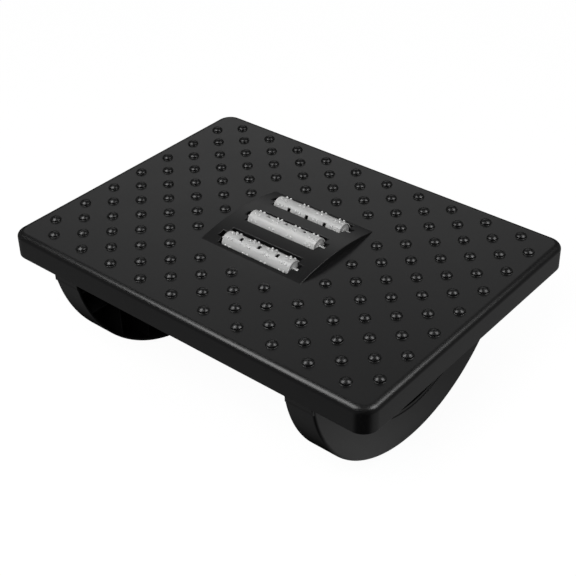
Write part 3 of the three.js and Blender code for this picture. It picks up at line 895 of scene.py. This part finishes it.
def rocker_mesh(side):
    """One rocker: its turned tray, flange, collar, shoulders and ears"""
    size = chosen("rockers")
    inner_x, outer_x = rocker_sides()
    # The tread touches the floor at height 0, so its radius is its centre's height
    centre_z = radius = deck_top() - size.centre_drop
    flange_top, flange_low = rocker_high.z, rocker_high.z - size.flange
    bm = bmesh.new()
    # The section is turned through half a circle; above the shoulder only what fits in the deck stays
    profile = rocker_profile(size, inner_x, outer_x, radius)
    axis = along_x(0, 0, centre_z)
    lathe(bm, profile, axis, steps=128, arc=pi, start=pi, closed=True)
    cut_z = (flange_top + flange_low) / 2
    shoulder = deck_low.z - size.shoulder
    deck = chosen("deck")
    lean = deck.draft * (flange_top - deck_low.z) / (deck_top() - deck_low.z)
    seat = deck_high.y - lean - deck.wall - size.fit
    cuts = [((0, 0, cut_z), (0, 0, 1), True), ((0, 0, shoulder), (0, 0, 1), False)]
    cuts += [((0, hand * seat, 0), (0, hand, 0), False) for hand in (1, -1)]
    for point, normal, off in cuts:
        parts = bm.verts[:] + bm.edges[:] + bm.faces[:]
        bmesh.ops.bisect_plane(bm, geom=parts, plane_co=point, plane_no=normal, clear_outer=off)
    centres = [(face, face.calc_center_median()) for face in bm.faces]
    outside = [face for face, centre in centres if centre.z > shoulder and abs(centre.y) > seat]
    bmesh.ops.delete(bm, geom=outside, context="FACES")
    block(bm, (inner_x, -seat, flange_low), (outer_x - size.rim, seat, flange_top))
    ring_in = radius - size.ring
    shelf = sqrt(ring_in**2 - (centre_z - flange_low + size.face) ** 2) + size.face
    back_x = outer_x - size.sink - size.face
    block(bm, (back_x, -shelf, flange_low - size.face), (outer_x - size.rim, shelf, cut_z))
    small = size.rim / 10
    for hand in (-1, 1):
        ends = sorted((hand * (seat - size.skin), hand * (seat - small)))
        collar_low = (inner_x + small, ends[0], shoulder - size.collar)
        block(bm, collar_low, (outer_x - size.rim, ends[1], cut_z))
        tread = sqrt(radius**2 - (centre_z - shoulder + size.rim) ** 2) - small
        ends = sorted((hand * (seat - size.skin), hand * tread))
        step_low = (inner_x + size.rim, ends[0], shoulder - size.rim)
        block(bm, step_low, (outer_x - size.edge, ends[1], shoulder - small))
    # Each screw has an ear that starts inside the flange
    ears = ((rocker_low.x, inner_x + size.rim * 3), (outer_x - size.rim * 8, rocker_high.x))
    ear_top = flange_top - size.ear_step
    for row in sorted({round((a.y + b.y) / 2, 5) for a, b in screws.values()}):
        for x0, x1 in ears:
            shift = Vector(((x0 + x1) / 2, row, 0))
            rings = []
            for z in (ear_top - size.flange, ear_top):
                ring = rounded_ring((x1 - x0) / 2, size.ear_width / 2, size.ear_corner, z)
                rings.append([point + shift for point in ring])
            made = loft(bm, rings)
            face_up([bm.faces.new(made[0])], -1)
            face_up([bm.faces.new(made[1])], 1)
    return mirrored(bm, side)


def mirrored(bm, side):
    """The same piece for the left side when side is below 0"""
    if side < 0:
        bmesh.ops.scale(bm, vec=(-1, 1, 1), verts=bm.verts[:])
        bmesh.ops.reverse_faces(bm, faces=bm.faces[:])
    return bm


def rocker_ribs(side):
    """The upright and level ribs in one rocker, which end on the sunk panel or run past it"""
    size = chosen("rockers")
    inner_x, outer_x = rocker_sides()
    centre_z = radius = deck_top() - size.centre_drop
    top = rocker_high.z - size.flange / 2
    far_x, dish_x = outer_x - size.face / 2, outer_x - size.sink - size.face / 2
    tread, dish = radius - size.skin / 2, radius - size.ring + size.face / 2
    half = size.rib / 2
    bm = bmesh.new()

    def chord(reach, away):
        """Half the width of a circle at a distance from its middle"""
        return sqrt(max(0, reach**2 - away**2))

    x = inner_x + size.rib_setback
    count = int((radius - size.rib_pitch) / size.rib_pitch)
    for k in range(-count, count + 1):
        y = k * size.rib_pitch
        low_z, dish_z = (centre_z - chord(reach, abs(y) + half) for reach in (tread, dish))
        block(bm, (x, y - half, low_z), (dish_x, y + half, top))
        block(bm, (dish_x - size.face / 4, y - half, low_z), (far_x, y + half, min(top, dish_z)))
    x = inner_x + size.level_setback
    for k in range(size.levels):
        drop = size.rib_level + k * size.level_step
        z, reach, dish_reach = centre_z - drop, chord(tread, drop + half), chord(dish, drop - half)
        block(bm, (x, -reach, z - half), (dish_x, reach, z + half))
        for hand in (-1, 1):
            ends = sorted((hand * dish_reach, hand * reach))
            block(bm, (dish_x - size.face / 4, ends[0], z - half), (far_x, ends[1], z + half))
    return mirrored(bm, side)


# Rollers


def sleeve_mesh(axis, half_length, window_turn):
    """A hollow sleeve with rows of nubs in pairs and three small windows between them"""
    size = chosen("rollers")
    window = size.window_length / 2 / size.radius
    gaps = [(k - (size.pairs - 2) / 2) * size.pair_pitch for k in range(size.pairs - 1)]
    xs = [-half_length, half_length] + [x + s * size.window_width / 2 for x in gaps for s in (-1, 1)]
    steps, least = 56, 0.03
    spare = [2 * pi * k / steps - pi for k in range(steps)]
    turns = sorted([a for a in spare if abs(abs(a) - window) > least] + [-window, window])

    def is_hole(x, a):
        return abs(a) < window and any(abs(x - gap) < size.window_width / 2 for gap in gaps)

    # The windows' turn is counted up from the front
    face = Matrix.Translation(axis) @ Matrix.Rotation(-window_turn, 4, "X")

    def at(radius):
        return lambda x, a: face @ Vector((x, -radius * cos(a), radius * sin(a)))

    bm = bmesh.new()
    grid_shell(bm, sorted(xs), turns, at(size.radius), at(size.radius - size.wall), is_hole, wrap=True)
    ball = size.nub_radius
    profile = arc_points((size.nub_height - ball, 0), ball, 0, 90, 4)
    profile += [(-size.wall / 2, ball)]
    for pair in range(size.pairs):
        middle = (pair - (size.pairs - 1) / 2) * size.pair_pitch
        for side in (-1, 1):
            x = middle + side * size.nub_spacing / 2
            for row in range(size.rows):
                a = size.row_offset + row * 2 * pi / size.rows
                out = Matrix.Rotation(pi / 2 - a, 4, "X") @ Matrix.Translation((0, 0, size.radius))
                lathe(bm, profile, face @ Matrix.Translation((x, 0, 0)) @ out, steps=14)
    return bm


def plug_mesh(axis, half_length, side):
    """An end plug: a sunk disc with a hub and a stub axle with a softened tip"""
    size = chosen("rollers")
    disc = size.radius - size.wall - size.plug_gap
    face = half_length - size.plug_depth
    tip = half_length + size.stub_length
    hub = size.stub_radius * 1.7
    soft = size.rim
    profile = [(face - 2 * size.wall, 0), (face - 2 * size.wall, disc)]
    profile += arc_points((face - soft, disc - soft), soft, 90, 0, 3)
    profile += [(face, hub + soft), (face + soft, hub), (face + size.plug_depth / 2, hub - soft)]
    profile += [(face + size.plug_depth / 2, size.stub_radius + soft)]
    profile += [(face + size.plug_depth / 2 + soft, size.stub_radius), (tip - soft, size.stub_radius)]
    profile += [(tip, size.stub_radius - soft), (tip, 0)]
    outward = Matrix.Rotation(side * pi / 2, 4, "Y")
    bm = bmesh.new()
    lathe(bm, profile, Matrix.Translation(axis) @ outward, steps=40)
    return bm


# Operators


class FOOTREST_OT_deck(bpy.types.Operator):
    """Builds the deck: tray, studs, arched panel, slots, clips and ribs"""

    bl_idname = "footrest.deck"
    bl_label = "Deck"

    def execute(self, context):
        plastic = black_plastic("deck black", chosen("finish").deck_roughness)
        rim = chosen("panel").rim
        bm = bmesh.new()
        tray(bm)
        add_studs(bm)
        piece("deck_tray", bm, plastic, "base", ["deck"])
        for name, add, bevel in (
            ("deck_arch", add_arch, rim),
            ("deck_wells", add_wells, rim / 2),
            ("deck_ribs", add_ribs, rim / 2),
        ):
            bm = bmesh.new()
            add(bm)
            piece(name, bm, plastic, "base", bevel=bevel, weighted=add is add_arch)
        return {"FINISHED"}


class FOOTREST_OT_rockers(bpy.types.Operator):
    """Builds the two half-round rockers"""

    bl_idname = "footrest.rockers"
    bl_label = "Rockers"

    def execute(self, context):
        plastic = black_plastic("rocker black", chosen("finish").rocker_roughness)
        soft = chosen("rockers").rib / 5
        for node, side in (("rocker_left", -1), ("rocker_right", 1)):
            piece(node + "_tray", rocker_mesh(side), plastic, "base", [node])
            ribs = rocker_ribs(side)
            piece(node + "_ribs", ribs, plastic, "base", bevel=soft)
        return {"FINISHED"}


class FOOTREST_OT_rollers(bpy.types.Operator):
    """Builds the three rollers: sleeves with nubs and windows, and plugs with stub axles"""

    bl_idname = "footrest.rollers"
    bl_label = "Rollers"

    def execute(self, context):
        size = chosen("rollers")
        # The painted shade reaches just past the sleeve's inner face, the painted highlight starts just
        # above the foot of the nubs
        whole = size.radius + size.nub_height
        bore = (size.radius - size.wall * 0.8) / whole
        tips = (size.radius + size.nub_height * 0.1) / whole
        sleeve_grey, plug_grey = grey_plastic("sleeve grey", bore, tips), grey_plastic("plug grey")
        for body, axis, half in rollers:
            sleeve = sleeve_mesh(axis, half, getattr(size, body.replace("roller", "turn")))
            node = body + "_sleeve"
            name = node + "_skin"
            piece(name, sleeve, sleeve_grey, body, [node], size.rim, weighted=True)
            for end, side in (("left", -1), ("right", 1)):
                node = f"{body}_plug_{end}"
                plug = plug_mesh(axis, half, side)
                piece(node + "_skin", plug, plug_grey, body, [node])
        return {"FINISHED"}


class FOOTREST_OT_screws(bpy.types.Operator):
    """Builds the pan-head screws under the rockers' ears"""

    bl_idname = "footrest.screws"
    bl_label = "Screws"

    def execute(self, context):
        size = chosen("screws")
        steel = zinc_steel("screw steel")
        for node, (low, high) in screws.items():
            head = (high.x - low.x) / 2
            top = low.z + size.head_height
            # Shares of the head's height and radius, from the flat of its crown to its rim
            crown = ((0, 0), (0, 0.5), (0.12, 0.78), (0.4, 0.96), (0.7, 1))
            profile = [(low.z + size.head_height * up, head * out) for up, out in crown]
            profile += [(top, head), (top, size.shank), (high.z - size.shank, size.shank), (high.z, 0)]
            bm = bmesh.new()
            middle = ((low.x + high.x) / 2, (low.y + high.y) / 2, 0)
            lathe(bm, profile, Matrix.Translation(middle), steps=32)
            piece(node + "_skin", bm, steel, "base", [node])
        return {"FINISHED"}


def lamp(name, azimuth, elevation, distance, size, power, mirrored):
    """A square lamp that faces the deck: it either shows only mirrored or lights without a highlight"""
    data = bpy.data.lights.new(name, "AREA")
    data.shape = "SQUARE"
    data.size = size
    data.energy = power
    made = add_object(name, data)
    flat = cos(elevation)
    toward = Vector((sin(azimuth) * flat, -cos(azimuth) * flat, sin(elevation)))
    made.location = Vector((0, 0, deck_top())) + toward * distance
    made.rotation_euler = toward.to_track_quat("Z", "Y").to_euler()
    made.visible_glossy = mirrored
    made.visible_diffuse = not mirrored


def floor_finish(studio):
    """Pale with a faint shadow for the camera, plain for the light, and a glow of painted light and shade
    where mirrored
    """
    made = Finish("floor white")
    matt = made.add("BsdfDiffuse", {"Color": grey(studio.floor_white)})
    seen = made.add("Emission", {"Color": WHITE, "Strength": studio.floor_glow})
    shaded = made.mix(studio.floor_shade, seen, matt)
    # Mirrored, it glows grey before the deck, with painted shade at its front, behind it and near the
    # camera, and a painted pool of light on its right
    x, y = made.parts(made.place, 0, 1)
    near, blend, behind = studio.mirror_near, studio.mirror_blend, y - deck_low.y
    before = made.ramp(deck_low.y + near - y, (0, 0), (2 * near, 1))
    before = before * made.ramp(x - studio.mirror_x + blend, (0, 1), (blend, 0))
    # Beside the right rocker the painted light brightens over the first 100 mm behind the deck's front,
    # then fades
    beside = made.ramp(behind, (0, 0), (0.1, 1.0), (0.19, 0.6), (0.26, 0.42))
    far = made.ramp(x - deck_high.x, (0, 0), (0.08, 1))
    past = made.ramp(behind + blend, (0, 0), (blend, 1))
    beside = beside * studio.mirror_rocker * (1 - far) + studio.mirror_right * far * past
    right = made.ramp(x - studio.mirror_x + blend, (0, 0), (blend, 1)) * beside
    dark = made.add("Emission", {"Color": BLACK})
    white = made.add("Emission", {"Color": WHITE})
    mirrored = made.mix(before * studio.mirror_front + right, dark, white)
    plain = made.add("BsdfDiffuse", {"Color": grey(studio.floor_bounce)})
    unseen = made.by_ray("Is Glossy Ray", plain, mirrored)
    return made.shows(made.by_ray("Is Camera Ray", unseen, shaded))


def add_floor(studio):
    bm = bmesh.new()
    bmesh.ops.create_grid(bm, x_segments=1, y_segments=1, size=studio.floor_size / 2)
    floor = add_mesh("floor", bm, floor_finish(studio))
    floor.location.z = cad_box[0][2]


def add_room(studio):
    """White for the camera, soft for the light; mirrored, bright low behind the deck, dark overhead"""
    bpy.context.scene.world = bpy.data.worlds.new("room")
    room = Finish("room", bpy.context.scene.world)
    seen = room.add("Background", {"Color": WHITE})
    soft = room.add("Background", {"Color": WHITE, "Strength": studio.room})
    night = room.add("Background", {"Color": BLACK})
    x, y, z = room.parts(room.place, 0, 1, 2)
    back_x, back_y = sin(studio.card_azimuth), -cos(studio.card_azimuth)
    aside = x * back_y - y * back_x
    aside = aside * aside
    behind = x * back_x + y * back_y
    # The card is brightest low down and fades upwards, sideways and towards the front
    low, card = studio.room_mirrored, studio.card
    fade = ((0.52, card * 0.62), (0.56, card * 0.38), (0.65, card * 0.29), (0.76, low))
    whole = room.ramp(z, (0.3, low), (0.4, card), (0.48, card), *fade)
    whole = whole * room.ramp(aside, (0.04, 1), (0.16, 0)) * room.ramp(behind, (0.2, 0), (0.4, 1))
    sides = room.ramp(aside, (0.15, 0), (0.4, 1)) * room.ramp(z, (0, 1), (0.45, 1), (0.7, 0))
    whole = whole + studio.side_mirrored * sides
    mirrored = room.mix(whole, night, seen)
    unseen = room.by_ray("Is Glossy Ray", soft, mirrored)
    room.shows(room.by_ray("Is Camera Ray", unseen, seen))


def add_camera(studio):
    data = bpy.data.cameras.new("camera")
    data.lens = studio.lens
    data.shift_x = studio.shift_x
    data.shift_y = studio.shift_y
    data.clip_end = 50
    camera = add_object("camera", data)
    camera.location = studio.camera_place
    camera.rotation_euler = Euler((studio.camera_tilt, studio.camera_roll, studio.camera_heading))
    bpy.context.scene.camera = camera


class FOOTREST_OT_studio(bpy.types.Operator):
    """Adds the pale floor, the lamps, the room's light and the camera"""

    bl_idname = "footrest.studio"
    bl_label = "Studio"

    def execute(self, context):
        studio = chosen("studio")
        add_floor(studio)
        settings = ("azimuth", "elevation", "distance", "size", "power")
        for name, key in (("left lamp", "key"), ("right lamp", "rim"), ("fill lamp", "fill")):
            values = (getattr(studio, f"{key}_{setting}") for setting in settings)
            lamp(name, *values, mirrored=key != "fill")
        add_room(studio)
        add_camera(studio)
        context.scene.view_settings.view_transform = "Standard"
        return {"FINISHED"}


class FOOTREST_PT_panel(bpy.types.Panel):
    """Lists the pieces and their sizes"""

    bl_label = "Footrest"
    bl_idname = "FOOTREST_PT_panel"
    bl_space_type = "VIEW_3D"
    bl_region_type = "UI"
    bl_category = "Footrest"

    def draw(self, context):
        for operator, groups in STEPS:
            box = self.layout.box()
            box.operator(operator.bl_idname)
            for group in groups:
                sizes = chosen(group)
                for key in sizes.__annotations__:
                    box.prop(sizes, key)


GROUPS = {
    "deck": FootrestDeck,
    "studs": FootrestStuds,
    "panel": FootrestPanel,
    "rollers": FootrestRollers,
    "rockers": FootrestRockers,
    "screws": FootrestScrews,
    "finish": FootrestFinish,
    "studio": FootrestStudio,
}

STEPS = (
    (FOOTREST_OT_deck, ("deck", "studs", "panel", "finish")),
    (FOOTREST_OT_rockers, ("rockers",)),
    (FOOTREST_OT_rollers, ("rollers",)),
    (FOOTREST_OT_screws, ("screws",)),
    (FOOTREST_OT_studio, ("studio",)),
)


def register():
    for name, group in GROUPS.items():
        bpy.utils.register_class(group)
        setattr(bpy.types.Scene, "footrest_" + name, PointerProperty(type=group))
    for operator, _ in STEPS:
        bpy.utils.register_class(operator)
    bpy.utils.register_class(FOOTREST_PT_panel)


def unregister():
    bpy.utils.unregister_class(FOOTREST_PT_panel)
    for operator, _ in reversed(STEPS):
        bpy.utils.unregister_class(operator)
    for name, group in reversed(GROUPS.items()):
        delattr(bpy.types.Scene, "footrest_" + name)
        bpy.utils.unregister_class(group)


def main():
    register()
    bpy.ops.footrest.deck()
    bpy.ops.footrest.rockers()
    bpy.ops.footrest.rollers()
    bpy.ops.footrest.screws()
    bpy.ops.footrest.studio()


if __name__ == "__main__":
    main()
